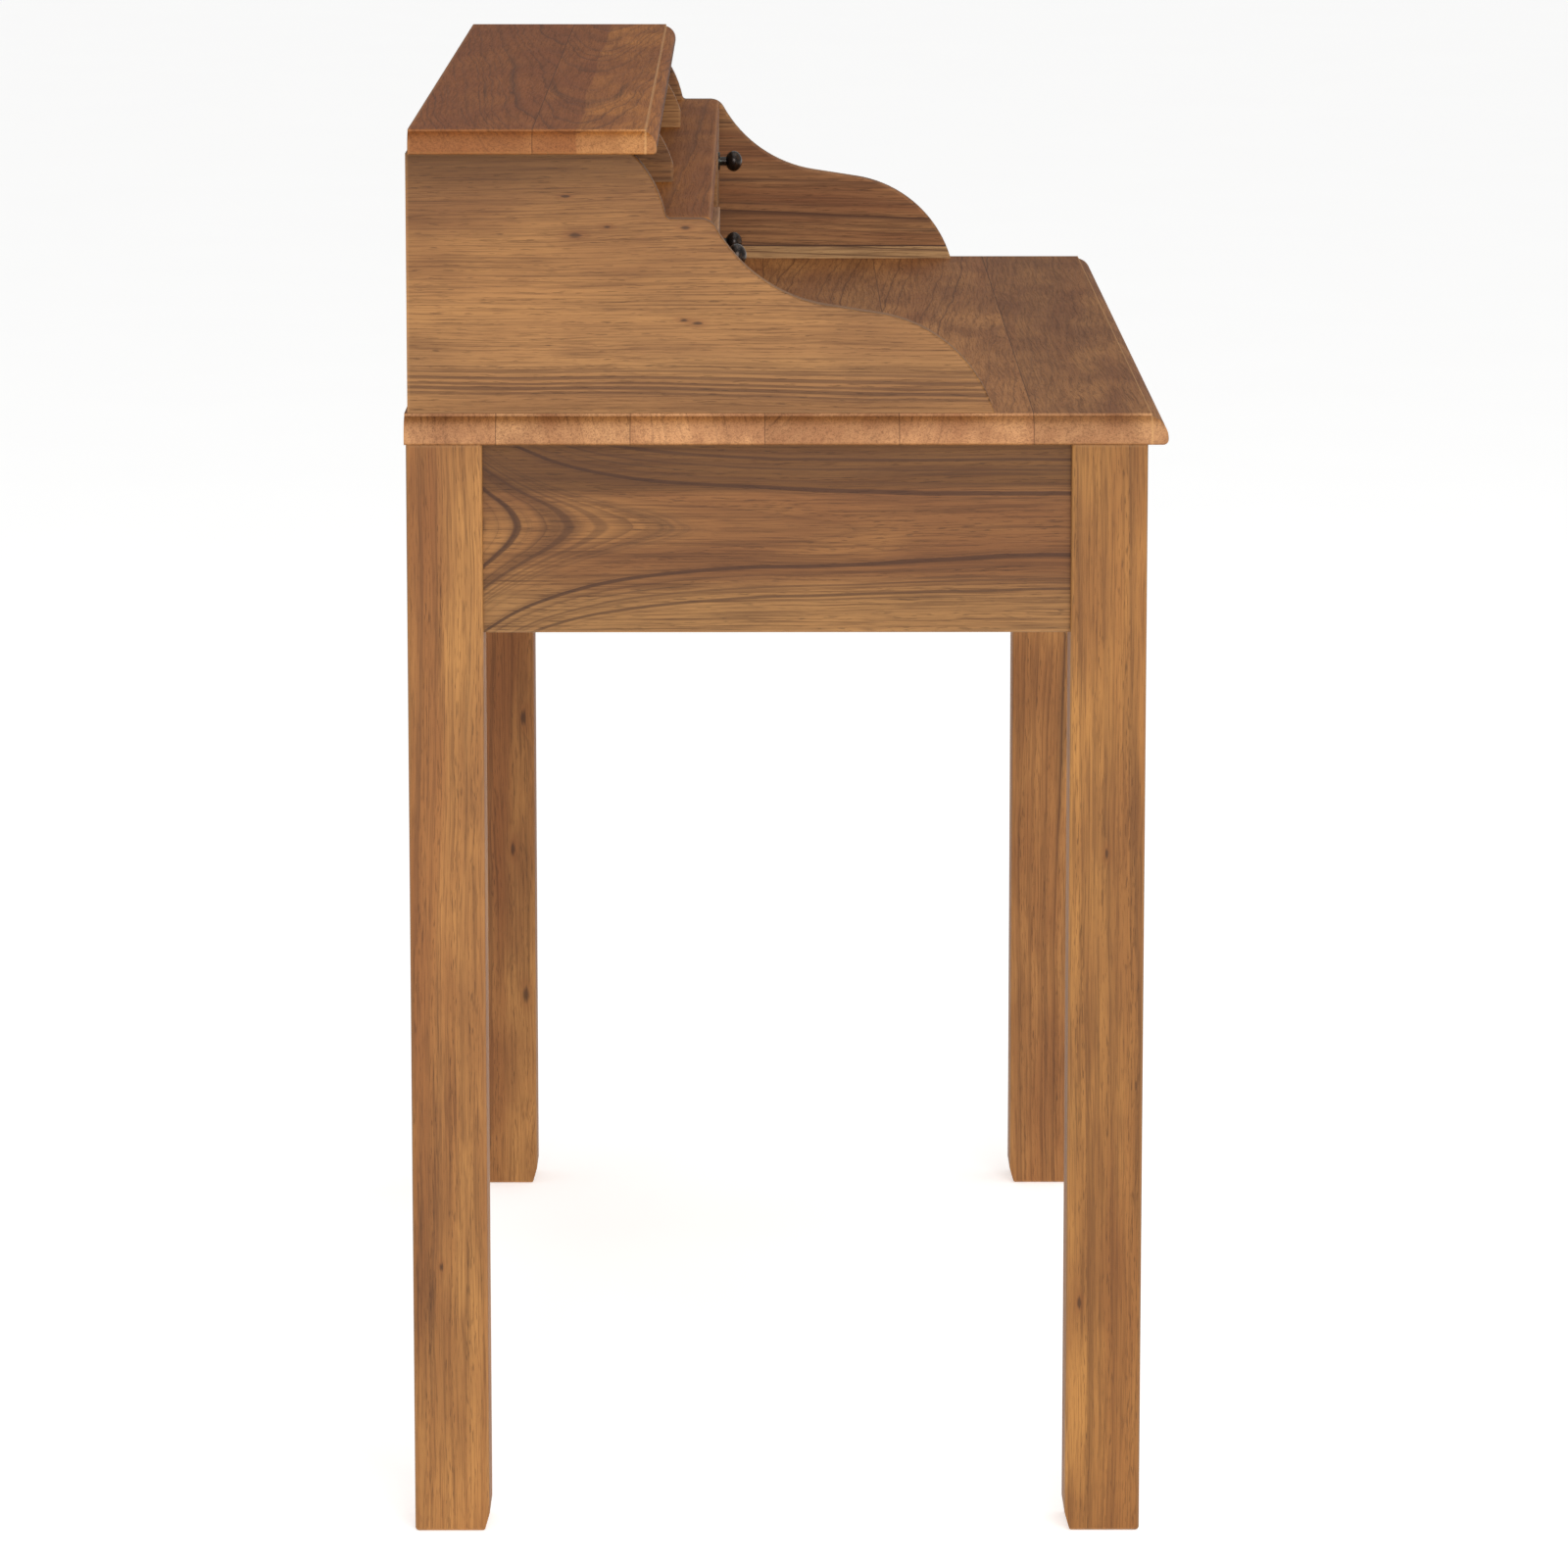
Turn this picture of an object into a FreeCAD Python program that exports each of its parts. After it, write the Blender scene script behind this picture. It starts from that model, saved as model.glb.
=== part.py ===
import FreeCAD, Part
import math
import os
import types

import Sketcher

# A writing desk with a low hutch on its back half: four square legs, aprons and rails that carry two wide
# drawers, a moulded desktop, and a hutch with scrolled side panels, pigeonholes, an open middle bay and two
# small drawers stacked at each end.
#
# Frame: +X to the user's right, +Y to the back, +Z up. The origin lies on the floor under the middle of
# the desktop. Lengths are in millimetres.

DRIVING_SIZES = {
    # Whole desk
    "desk_width": 1100,
    "desk_depth": 500,
    "desk_height": 754,
    "full_height": 940,
    "desktop_thickness": 20,
    # Moulded edge of the desktop, and of the thinner hutch top
    "desktop_band": 10.6,
    "desktop_quirk": 1.8,
    "desktop_nose_height": 5,
    "desktop_under_radius": 4,
    "hutch_top_band": 7.4,
    "hutch_top_quirk": 1.5,
    "hutch_top_nose_height": 4,
    "hutch_top_under_radius": 3,
    # Legs
    "leg_size": 50,
    "leg_side_inset": 5,
    "leg_front_inset": 13,
    "leg_back_inset": 1,
    "leg_edge_radius": 2.5,
    "foot_edge_radius": 2.5,
    "foot_taper_depth": 3.5,
    "foot_taper_height": 12,
    # Aprons, rails and their joints
    "apron_height": 125,
    "apron_thickness": 18,
    "apron_recess": 6,
    "tenon_thickness": 8,
    "tenon_length": 20,
    "tenon_shoulder": 12,
    "top_rail_height": 15,
    "bottom_rail_height": 20,
    "rail_depth": 20,
    "rail_tenon_length": 12,
    "stile_width": 30,
    "stile_depth": 20,
    "apron_edge_radius": 1.2,
    # Runners and kickers
    "runner_thickness": 15,
    "runner_bearing": 17,
    "guide_height": 26,
    "guide_gap": 0.5,
    "kicker_thickness": 15,
    # Hutch
    "hutch_back_inset": 2,
    "hutch_side_inset": 12,
    "hutch_panel_thickness": 16,
    "hutch_top_thickness": 16,
    "hutch_top_depth": 162,
    "hutch_top_back_inset": 4,
    "hutch_back_thickness": 8,
    "shelf_height": 127,
    "shelf_thickness": 16,
    "shelf_depth": 199,
    "shelf_nose_radius": 3,
    "partition_thickness": 16,
    "partition_offset": 245,
    "divider_thickness": 12,
    "divider_depth": 171,
    "divider_upright": 12,
    "divider_top_depth": 154,
    "divider_radius": 85,
    # Scrolled outline of the side panels
    "brow_depth": 148,
    "brow_radius": 85,
    "step_depth": 170,
    "step_relief_radius": 3,
    "ledge_depth": 192,
    "ledge_radius": 12,
    "ledge_turn": 61,
    "hollow_radius": 100,
    "slope_angle": 9,
    "slope_length": 35,
    "swell_radius": 94,
    "scroll_depth": 384.6,
    "scroll_edge_radius": 1.8,
    # Small drawers of the hutch
    "small_gap": 1,
    "small_front_thickness": 16,
    "small_side_thickness": 9,
    "small_side_height": 38,
    "small_box_depth": 166,
    "small_bottom_thickness": 4,
    "small_bottom_inset": 5,
    "small_knob_rise": 1.75,
    "ajar": 4.5,
    # Wide drawers under the desktop
    "wide_gap": 1,
    "wide_front_thickness": 18,
    "wide_side_thickness": 12,
    "wide_side_height": 78,
    "wide_box_depth": 410,
    "wide_bottom_thickness": 6,
    "wide_bottom_inset": 8,
    "groove_depth": 4,
    "drawer_clearance": 0.4,
    "front_edge_radius": 1,
    # Knobs and their machine screws
    "knob_radius": 8,
    "knob_half_thickness": 6.5,
    "knob_reach": 18.4,
    "stem_radius": 3.35,
    "flange_radius": 7,
    "flange_thickness": 1.2,
    "knob_screw_radius": 2,
    "knob_screw_bite": 7,
    "knob_screw_head_radius": 4,
    "knob_screw_head_height": 2.6,
    "hole_clearance": 0.2,
    # Dowels and wood screws
    "dowel_radius": 3,
    "dowel_half_length": 10.5,
    "dowel_bite": 9,
    "wood_screw_radius": 2,
    "wood_screw_length": 27,
    "wood_screw_head_radius": 4,
    "wood_screw_head_height": 3,
}

class Size:
    """A length together with the sheet formula it comes from. Sums of sizes stay bound to the sheet."""

    def __init__(self, value, formula):
        self.value = float(value)
        self.formula = formula

    @staticmethod
    def of(thing):
        if isinstance(thing, Size):
            return thing
        return Size(thing, f"({float(thing)})")

    def combined(self, sign, other, value):
        return Size(value, f"({self.formula} {sign} {other.formula})")

    def __add__(self, other):
        other = Size.of(other)
        return self.combined("+", other, self.value + other.value)

    def __sub__(self, other):
        other = Size.of(other)
        return self.combined("-", other, self.value - other.value)

    def __mul__(self, other):
        other = Size.of(other)
        return self.combined("*", other, self.value * other.value)

    def __truediv__(self, other):
        other = Size.of(other)
        return self.combined("/", other, self.value / other.value)

    def __radd__(self, other):
        return Size.of(other) + self

    def __rsub__(self, other):
        return Size.of(other) - self

    def __rmul__(self, other):
        return Size.of(other) * self

    def __neg__(self):
        return Size.of(0) - self


document = FreeCAD.newDocument("SecretaryDesk")
subparts = {}


def fill_sheet():
    """Write the driving sizes to a spreadsheet and return them by name."""
    sheet = document.addObject("Spreadsheet::Sheet", "Sizes")
    sizes = types.SimpleNamespace()
    for row, (name, value) in enumerate(DRIVING_SIZES.items(), 1):
        sheet.set(f"A{row}", name)
        sheet.set(f"B{row}", str(value))
        sheet.setAlias(f"B{row}", name)
        setattr(sizes, name, Size(value, f"Sizes.{name}"))
    document.recompute()
    return sizes


d = fill_sheet()


# ---------------------------------------------------------------- shaping helpers


def bind(thing, prop, size):
    """Bind one property of an object to a size's formula."""
    thing.setExpression(prop, Size.of(size).formula)


def place(thing, at):
    """Bind an object's position to three sizes."""
    for axis, size in zip("xyz", at):
        bind(thing, f".Placement.Base.{axis}", size)


def keep(thing, label):
    """Name an object as one sub-part of the desk."""
    thing.Label = label
    subparts[label] = thing
    return thing


def new_body(label, at):
    """Start a sub-part at a point of the desk's frame."""
    body = document.addObject("PartDesign::Body", label)
    place(body, at)
    return keep(body, label)


def new_sketch(body, plane, offset=0):
    """Add a sketch on one of the body's own origin planes, moved along the plane's normal."""
    sketch = body.newObject("Sketcher::SketchObject", "sketch")
    planes = [feature for feature in body.Origin.OriginFeatures if feature.Role == plane]
    sketch.AttachmentSupport = (planes[0], [""])
    sketch.MapMode = "FlatFace"
    bind(sketch, "AttachmentOffset.Base.z", offset)
    return sketch


def constrain(sketch, size, *arguments):
    """Add a dimension to a sketch and bind it to a size."""
    index = sketch.addConstraint(Sketcher.Constraint(*arguments, size.value))
    sketch.setExpression(f"Constraints[{index}]", size.formula)


def pin(sketch, edge, end, x, y):
    """Hold one point of an edge at x, y from the sketch's origin."""
    for kind, size in (("DistanceX", Size.of(x)), ("DistanceY", Size.of(y))):
        if size.value < 0:
            constrain(sketch, -size, kind, edge, end, -1, 1)
        else:
            constrain(sketch, size, kind, -1, 1, edge, end)


def vector(x, y):
    return FreeCAD.Vector(Size.of(x).value, Size.of(y).value, 0)


def add_line(sketch, start, stop):
    """Add a straight edge. Returns its index and the numbers of its start and stop points."""
    return sketch.addGeometry(Part.LineSegment(start, stop), False), 1, 2


def add_arc(sketch, start, stop, radius, turn):
    """Add an arc under half a circle. turn is 1 where the path bends to the left, and -1 to the right."""
    chord = stop - start
    left = FreeCAD.Vector(-chord.y, chord.x, 0).normalize()
    rise = math.sqrt(radius ** 2 - (chord.Length / 2) ** 2)
    centre = (start + stop) / 2 + left * rise * turn
    first, last = (start, stop) if turn > 0 else (stop, start)
    angles = [math.atan2(point.y - centre.y, point.x - centre.x) for point in (first, last)]
    circle = Part.Circle(centre, FreeCAD.Vector(0, 0, 1), radius)
    edge = sketch.addGeometry(Part.ArcOfCircle(circle, *angles), False)
    return (edge, 1, 2) if turn > 0 else (edge, 2, 1)


def outline(sketch, corners):
    """Draw a closed outline. A corner is (x, y), or (x, y, radius, turn) where an arc leaves it."""
    edges = []
    for here, following in zip(corners, corners[1:] + corners[:1]):
        start = vector(*here[:2])
        stop = vector(*following[:2])
        if len(here) == 2:
            edges.append(add_line(sketch, start, stop))
        else:
            radius, turn = here[2:]
            edges.append(add_arc(sketch, start, stop, radius.value, turn))
            constrain(sketch, radius, "Radius", edges[-1][0])
    for (edge, first, last), (following, next_first, _) in zip(edges, edges[1:] + edges[:1]):
        sketch.addConstraint(Sketcher.Constraint("Coincident", edge, last, following, next_first))
    for (edge, first, _), corner in zip(edges, corners):
        pin(sketch, edge, first, *corner[:2])


def rectangle(sketch, low, high):
    outline(sketch, [low, (high[0], low[1]), high, (low[0], high[1])])


def extrude(body, kind, sketch, length, backwards=False):
    """Pad or pocket a sketch by a bound length."""
    feature = body.newObject(f"PartDesign::{kind}", kind.lower())
    feature.Profile = sketch
    feature.Reversed = backwards
    bind(feature, "Length", length)
    body.Tip = feature
    return feature


def add_block(body, low, high):
    """Add a box of wood between two corners."""
    sketch = new_sketch(body, "XY_Plane", low[2])
    rectangle(sketch, low[:2], high[:2])
    return extrude(body, "Pad", sketch, Size.of(high[2]) - low[2])


def cut_block(body, low, high):
    """Cut away the box between two corners, upwards from its underside."""
    sketch = new_sketch(body, "XY_Plane", low[2])
    rectangle(sketch, low[:2], high[:2])
    return extrude(body, "Pocket", sketch, Size.of(high[2]) - low[2], backwards=True)


def drill(body, plane, offset, centres, radius, depth, backwards=False):
    """Drill round holes into the body from a plane."""
    sketch = new_sketch(body, plane, offset)
    for x, y in centres:
        hole = sketch.addGeometry(Part.Circle(vector(x, y), FreeCAD.Vector(0, 0, 1), radius.value), False)
        pin(sketch, hole, 3, x, y)
        constrain(sketch, radius, "Radius", hole)
    return extrude(body, "Pocket", sketch, depth, backwards)


def round_edges(body, radius, wanted):
    """Round the edges of the body's last feature that `wanted` picks."""
    document.recompute()
    tip = body.Tip
    names = [f"Edge{number}" for number, edge in enumerate(tip.Shape.Edges, 1) if wanted(edge)]
    fillet = body.newObject("PartDesign::Fillet", "fillet")
    fillet.Base = (tip, names)
    bind(fillet, "Radius", radius)
    body.Tip = fillet
    return fillet


def runs_along(edge, axis, shortest=0):
    """Whether a straight edge is parallel to an axis (0, 1 or 2) and longer than `shortest`."""
    if edge.Curve.TypeId != "Part::GeomLine":
        return False
    return abs(edge.Curve.Direction[axis]) > 0.999 and edge.Length > shortest


def lies_at(edge, axis, level):
    """Whether the whole edge lies in the plane where one coordinate has this value."""
    box = edge.BoundBox
    low, high = ((box.XMin, box.XMax), (box.YMin, box.YMax), (box.ZMin, box.ZMax))[axis]
    return abs(low - level) < 0.01 and abs(high - level) < 0.01


def board(label, at, size):
    """A plain rectangular board from its lowest corner."""
    body = new_body(label, at)
    add_block(body, (0, 0, 0), size)
    return body


def group(label, members):
    """Several separate solids that make one sub-part."""
    compound = document.addObject("Part::Compound", label)
    compound.Links = members
    return keep(compound, label)


def upright_cylinder(radius, height, at, name="cylinder"):
    """A round solid that stands on `at`."""
    cylinder = document.addObject("Part::Cylinder", name)
    bind(cylinder, "Radius", radius)
    bind(cylinder, "Height", height)
    place(cylinder, at)
    return cylinder


def turned(thing, axis, degrees):
    """Turn an object about its own base point."""
    thing.Placement.Rotation = FreeCAD.Rotation(FreeCAD.Vector(*axis), degrees)
    return thing


# ---------------------------------------------------------------- shared levels and planes

half_width = d.desk_width / 2
front_plane = -(d.desk_depth / 2)
back_plane = d.desk_depth / 2
desktop_underside = d.desk_height - d.desktop_thickness
apron_underside = desktop_underside - d.apron_height

leg_outer_x = half_width - d.leg_side_inset
leg_inner_x = leg_outer_x - d.leg_size
leg_front_y = front_plane + d.leg_front_inset
leg_back_y = back_plane - d.leg_back_inset
inner_front_y = leg_front_y + d.leg_size
inner_back_y = leg_back_y - d.leg_size

apron_outer_x = leg_outer_x - d.apron_recess
apron_inner_x = apron_outer_x - d.apron_thickness
rail_front_y = leg_front_y + d.apron_recess
rail_back_y = rail_front_y + d.rail_depth
apron_back_y = leg_back_y - d.apron_recess
apron_back_inner_y = apron_back_y - d.apron_thickness
tenon_height = d.apron_height - 2 * d.tenon_shoulder

opening_floor = apron_underside + d.bottom_rail_height
opening_roof = desktop_underside - d.top_rail_height
half_stile = d.stile_width / 2

hutch_back_y = back_plane - d.hutch_back_inset
hutch_outer_x = half_width - d.hutch_side_inset
hutch_inner_x = hutch_outer_x - d.hutch_panel_thickness
hutch_panel_height = d.full_height - d.hutch_top_thickness - d.desk_height
shelf_top = d.desk_height + d.shelf_height
shelf_underside = shelf_top - d.shelf_thickness
shelf_front_y = hutch_back_y - d.shelf_depth
hutch_inside_back_y = hutch_back_y - d.hutch_back_thickness
partition_outer_x = d.partition_offset + d.partition_thickness / 2
small_rail_underside = d.desk_height + (d.shelf_height - d.shelf_thickness - d.partition_thickness) / 2
small_rail_top = small_rail_underside + d.partition_thickness

dowel_hole_radius = d.dowel_radius + d.hole_clearance
dowel_hole_depth = d.dowel_bite + d.hole_clearance
dowel_far_bite = 2 * d.dowel_half_length - d.dowel_bite
dowel_far_depth = dowel_far_bite + d.hole_clearance
screw_hole_radius = d.wood_screw_radius + d.hole_clearance

panel_middle_x = hutch_outer_x - d.hutch_panel_thickness / 2
PANEL_FOOT_DOWELS = (30, 180, 330)
PANEL_HEAD_DOWELS = (35, 120)
SHELF_DOWELS = (35, 150)
PARTITION_DOWELS = (40, 160)
KICKER_SCREWS = (60, 220, 380)


# ---------------------------------------------------------------- desk frame


def moulded_board(label, at, width, depth, thickness, edge):
    """A board whose front and side edges carry a quirk and an ovolo, mitred at the front corners.

    The body's origin is the middle of the front edge's underside.
    """
    band, quirk, nose_height, under_radius = edge
    body = new_body(label, at)
    half = width / 2
    add_block(body, (-half, 0, 0), (half, depth, thickness))
    shoulder = thickness - quirk
    # The ovolo is an arc that is upright at the nose and meets the quirk's foot.
    rise = shoulder - nose_height
    ovolo = (band * band + rise * rise) / (2 * band)

    front = new_sketch(body, "YZ_Plane", -half)
    outline(front, [(band, shoulder), (band, thickness), (0, thickness), (0, nose_height, ovolo, -1)])
    extrude(body, "Pocket", front, width, backwards=True)

    left = new_sketch(body, "XZ_Plane")
    inner = band - half
    left_nose = (-half, nose_height, ovolo, -1)
    outline(left, [(inner, shoulder), (inner, thickness), (-half, thickness), left_nose])
    extrude(body, "Pocket", left, depth)

    right = new_sketch(body, "XZ_Plane")
    inner = half - band
    right_shoulder = (inner, shoulder, ovolo, -1)
    outline(right, [right_shoulder, (half, nose_height), (half, thickness), (inner, thickness)])
    extrude(body, "Pocket", right, depth)

    def under_nose(edge):
        if not lies_at(edge, 2, 0):
            return False
        at_side = lies_at(edge, 0, half.value) or lies_at(edge, 0, -half.value)
        return lies_at(edge, 1, 0) or at_side

    round_edges(body, under_radius, under_nose)
    return body


def desktop():
    """The writing surface, with blind holes for the dowels and for the screws that hold it down."""
    edge = (d.desktop_band, d.desktop_quirk, d.desktop_nose_height, d.desktop_under_radius)
    place_at = (Size.of(0), front_plane, desktop_underside)
    body = moulded_board("desktop", place_at, d.desk_width, d.desk_depth, d.desktop_thickness, edge)
    from_front = hutch_back_y - front_plane
    dowels = []
    for side in (-1, 1):
        for setback in PANEL_FOOT_DOWELS:
            dowels.append((side * panel_middle_x, from_front - setback))
        for setback in PARTITION_DOWELS:
            dowels.append((side * d.partition_offset, from_front - setback))
    drill(body, "XY_Plane", d.desktop_thickness, dowels, dowel_hole_radius, dowel_hole_depth)
    screws = [(x, y - front_plane) for x, y in kicker_screw_places()]
    bite = d.wood_screw_length - d.kicker_thickness + d.hole_clearance
    drill(body, "XY_Plane", 0, screws, screw_hole_radius, bite, backwards=True)


def leg(label, side, end):
    """A square leg, from its foot's middle. side is -1 left or 1 right, and end is -1 front or 1 back."""
    half = d.leg_size / 2
    middle_y = leg_front_y + half if end < 0 else leg_back_y - half
    middle_x = side * (leg_outer_x - half)
    body = new_body(label, (middle_x, middle_y, Size.of(0)))
    add_block(body, (-half, -half, 0), (half, half, desktop_underside))
    round_edges(body, d.leg_edge_radius, lambda edge: runs_along(edge, 2, 100))

    # The foot tapers on its inner face, towards the knee space.
    taper = new_sketch(body, "YZ_Plane", -half)
    tip = -end * half
    shaved = -end * (half - d.foot_taper_depth)
    corners = [(tip, 0), (tip, d.foot_taper_height), (shaved, 0)]
    outline(taper, corners if end > 0 else corners[::-1])
    extrude(body, "Pocket", taper, d.leg_size, backwards=True)
    round_edges(body, d.foot_edge_radius, lambda edge: lies_at(edge, 2, 0) and edge.Length > 30)

    cut_side_apron_mortise(body, side, end, half)
    if end > 0:
        cut_back_apron_mortise(body, side, half)
    else:
        cut_rail_mortises(body, side, half)


def ordered(first, second):
    """Two corners of a box sorted so that the first is lowest."""
    pairs = [sorted(pair, key=lambda size: Size.of(size).value) for pair in zip(first, second)]
    return tuple(pair[0] for pair in pairs), tuple(pair[1] for pair in pairs)


def cut_side_apron_mortise(body, side, end, half):
    inset = d.apron_recess + (d.apron_thickness - d.tenon_thickness) / 2
    outer = side * (half - inset)
    inner = side * (half - inset - d.tenon_thickness)
    floor = apron_underside + d.tenon_shoulder
    low = (outer, -end * half, floor)
    high = (inner, -end * (half - d.tenon_length), floor + tenon_height)
    cut_block(body, *ordered(low, high))


def cut_back_apron_mortise(body, side, half):
    inset = d.apron_recess + (d.apron_thickness - d.tenon_thickness) / 2
    floor = apron_underside + d.tenon_shoulder
    low = (-side * half, half - inset - d.tenon_thickness, floor)
    high = (-side * (half - d.tenon_length), half - inset, floor + tenon_height)
    cut_block(body, *ordered(low, high))


def cut_rail_mortises(body, side, half):
    """Sockets for the two front rails, which enter the leg at their full height."""
    front = d.apron_recess - half
    for floor, roof in ((apron_underside, opening_floor), (opening_roof, desktop_underside)):
        low = (-side * half, front, floor)
        high = (-side * (half - d.rail_tenon_length), front + d.rail_depth, roof)
        cut_block(body, *ordered(low, high))


def side_apron(label, side):
    """A side apron with a tenon at each end. Its origin is the front shoulder's lowest outer corner."""
    body = new_body(label, (side * apron_outer_x, inner_front_y, apron_underside))
    length = inner_back_y - inner_front_y
    low, high = ordered((0, 0, 0), (-side * d.apron_thickness, length, d.apron_height))
    add_block(body, low, high)
    round_edges(body, d.apron_edge_radius, lambda edge: runs_along(edge, 1) and lies_at(edge, 2, 0))
    margin = (d.apron_thickness - d.tenon_thickness) / 2
    floor = d.tenon_shoulder
    near = -side * margin
    far = -side * (margin + d.tenon_thickness)
    for start, stop in ((-d.tenon_length, Size.of(0)), (length, length + d.tenon_length)):
        add_block(body, *ordered((near, start, floor), (far, stop, floor + tenon_height)))


def back_apron():
    """The back apron between the back legs, with a tenon at each end."""
    body = new_body("apron_back", (-leg_inner_x, apron_back_inner_y, apron_underside))
    length = 2 * leg_inner_x
    add_block(body, (0, 0, 0), (length, d.apron_thickness, d.apron_height))
    round_edges(body, d.apron_edge_radius, lambda edge: runs_along(edge, 0) and lies_at(edge, 2, 0))
    margin = (d.apron_thickness - d.tenon_thickness) / 2
    floor = d.tenon_shoulder
    for start, stop in ((-d.tenon_length, Size.of(0)), (length, length + d.tenon_length)):
        add_block(body, (start, margin, floor), (stop, margin + d.tenon_thickness, floor + tenon_height))


def front_rails():
    """The rails below and above the wide drawers, and the upright between them."""
    length = 2 * (leg_inner_x + d.rail_tenon_length)
    left = -(length / 2)
    board("rail_lower", (left, rail_front_y, apron_underside), (length, d.rail_depth, d.bottom_rail_height))
    board("rail_upper", (left, rail_front_y, opening_roof), (length, d.rail_depth, d.top_rail_height))
    height = opening_roof - opening_floor
    corner = (-half_stile, rail_front_y, opening_floor)
    board("drawer_stile", corner, (d.stile_width, d.stile_depth, height))


def runners():
    """Supports under the wide drawers. Each has an upstand that keeps a drawer square as it slides."""
    length = apron_back_inner_y - rail_back_y
    floor = opening_floor - d.runner_thickness
    base_height = d.runner_thickness
    full_height = base_height + d.guide_height
    for label, side in (("runner_left", -1), ("runner_right", 1)):
        body = new_body(label, (side * apron_inner_x, rail_back_y, floor))
        base = apron_inner_x - leg_inner_x + d.runner_bearing
        guide = apron_inner_x - leg_inner_x - d.guide_gap
        add_block(body, *ordered((0, 0, 0), (-side * base, length, base_height)))
        upstand_start = inner_front_y - rail_back_y
        upstand_stop = inner_back_y - rail_back_y
        low = (0, upstand_start, base_height)
        high = (-side * guide, upstand_stop, full_height)
        add_block(body, *ordered(low, high))
        clear_legs(body, side, length, base_height)
    middle = new_body("runner_middle", (Size.of(0), rail_back_y, floor))
    base = half_stile + d.runner_bearing
    guide = half_stile - d.guide_gap
    add_block(middle, (-base, 0, 0), (base, length, base_height))
    add_block(middle, (-guide, 0, base_height), (guide, length, full_height))


def clear_legs(body, side, length, height):
    """Notch the ends of a side runner or kicker around the legs."""
    reach = apron_inner_x - leg_inner_x
    front_notch = inner_front_y - rail_back_y
    back_notch = length - (inner_back_y - rail_back_y)
    for start, stop in ((Size.of(0), front_notch), (length - back_notch, length)):
        cut_block(body, *ordered((0, start, 0), (-side * reach, stop, height)))


def kicker_screw_places():
    """Where the screws go up through the kickers, in the desk's frame."""
    places = []
    for setback in KICKER_SCREWS:
        y = rail_back_y + setback
        places.append((-leg_inner_x, y))
        places.append((Size.of(0), y))
        places.append((leg_inner_x, y))
    return places


def kickers():
    """Three strips under the desktop that keep an open drawer level and carry the desktop screws."""
    length = apron_back_inner_y - rail_back_y
    height = d.kicker_thickness
    base = apron_inner_x - leg_inner_x + d.runner_bearing
    strips = []
    for side in (-1, 0, 1):
        body = document.addObject("PartDesign::Body", "kicker_strip")
        place(body, (side * apron_inner_x, rail_back_y, opening_roof))
        if side:
            add_block(body, *ordered((0, 0, 0), (-side * base, length, height)))
            clear_legs(body, side, length, height)
        else:
            width = half_stile + d.runner_bearing
            add_block(body, (-width, 0, 0), (width, length, height))
        inward = side * (leg_inner_x - apron_inner_x)
        holes = [(inward, Size.of(setback)) for setback in KICKER_SCREWS]
        drill(body, "XY_Plane", 0, holes, screw_hole_radius, height, backwards=True)
        sink = d.wood_screw_head_height + d.hole_clearance
        drill(body, "XY_Plane", 0, holes, d.wood_screw_head_radius + d.hole_clearance, sink, backwards=True)
        strips.append(body)
    group("kickers", strips)


def desktop_screws():
    """Wood screws from the kickers up into the desktop, with sunk heads."""
    screws = []
    for x, y in kicker_screw_places():
        head = upright_cylinder(d.wood_screw_head_radius, d.wood_screw_head_height, (x, y, opening_roof))
        shank = upright_cylinder(d.wood_screw_radius, d.wood_screw_length, (x, y, opening_roof))
        screw = document.addObject("Part::Fuse", "wood_screw")
        screw.Base = head
        screw.Tool = shank
        screws.append(screw)
    group("desktop_screws", screws)


# ---------------------------------------------------------------- hutch


def scroll_path(start):
    """First guesses for where the scroll's arcs meet, from the ledge down to its tip."""
    x, y = start
    points = []
    heading = 0.0
    steps = (
        (-d.ledge_radius.value, d.ledge_turn.value),
        (d.hollow_radius.value, d.slope_angle.value),
        (None, d.slope_angle.value),
    )
    for radius, angle in steps:
        following = -math.radians(angle)
        if radius is None:
            x += d.slope_length.value * math.cos(heading)
            y += d.slope_length.value * math.sin(heading)
        else:
            x += radius * (math.sin(following) - math.sin(heading))
            y -= radius * (math.cos(following) - math.cos(heading))
        heading = following
        points.append((x, y))
    return points


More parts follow.
